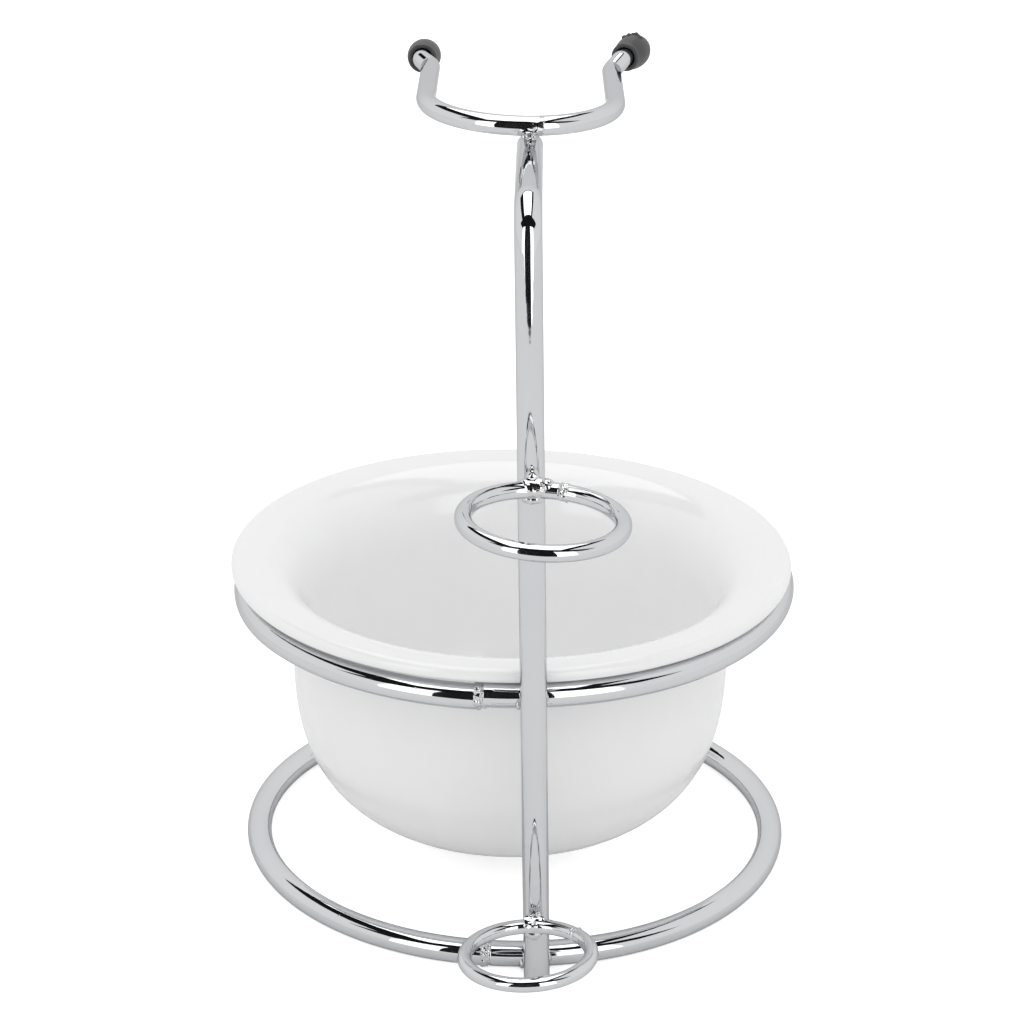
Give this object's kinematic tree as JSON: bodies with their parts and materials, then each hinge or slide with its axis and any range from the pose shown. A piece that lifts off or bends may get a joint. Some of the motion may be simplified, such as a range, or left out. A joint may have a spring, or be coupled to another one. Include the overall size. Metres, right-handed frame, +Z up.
{
  "type": "shaving stand",
  "caption": "Chrome wire shaving stand with a lift-out lather bowl, an open fork at the top that hangs a brush and small rings in front that hold a razor upright",
  "frame": {"origin": "middle of the footprint, on the floor the base ring stands on", "axes": "+Z is up, -Y is the front where the post and the small rings stand, +Y is the back where the fork opens, +X is to the right seen from the front"},
  "size_m": [0.1032, 0.136, 0.1467],
  "materials": {
    "chrome_wire": "bright chrome plate over drawn steel wire",
    "chrome_weld": "bright chrome plate over rough weld beads",
    "rubber_cap": "soft black moulded rubber, dull",
    "white_bowl": "glossy white moulded plastic"
  },
  "bodies": {
    "stand": {"base_ring": "chrome_wire", "seam_base_ring": "chrome_weld", "bowl_ring": "chrome_wire", "seam_bowl_ring": "chrome_weld", "razor_ring": "chrome_wire", "seam_razor_ring": "chrome_weld", "handle_ring": "chrome_wire", "seam_handle_ring": "chrome_weld", "post": "chrome_wire", "brush_fork": "chrome_wire", "cap_left": "rubber_cap", "cap_right": "rubber_cap", "weld_base_ring": "chrome_weld", "weld_bowl_ring": "chrome_weld", "weld_razor_ring": "chrome_weld", "weld_handle_ring": "chrome_weld", "weld_fork": "chrome_weld"},
    "bowl": {"bowl": "white_bowl"}
  },
  "joints": [
    {"name": "bowl_lift", "type": "slide", "parent": "stand", "child": "bowl", "axis": [0, 0, 1], "range_m": [0, 0.055]}
  ]
}
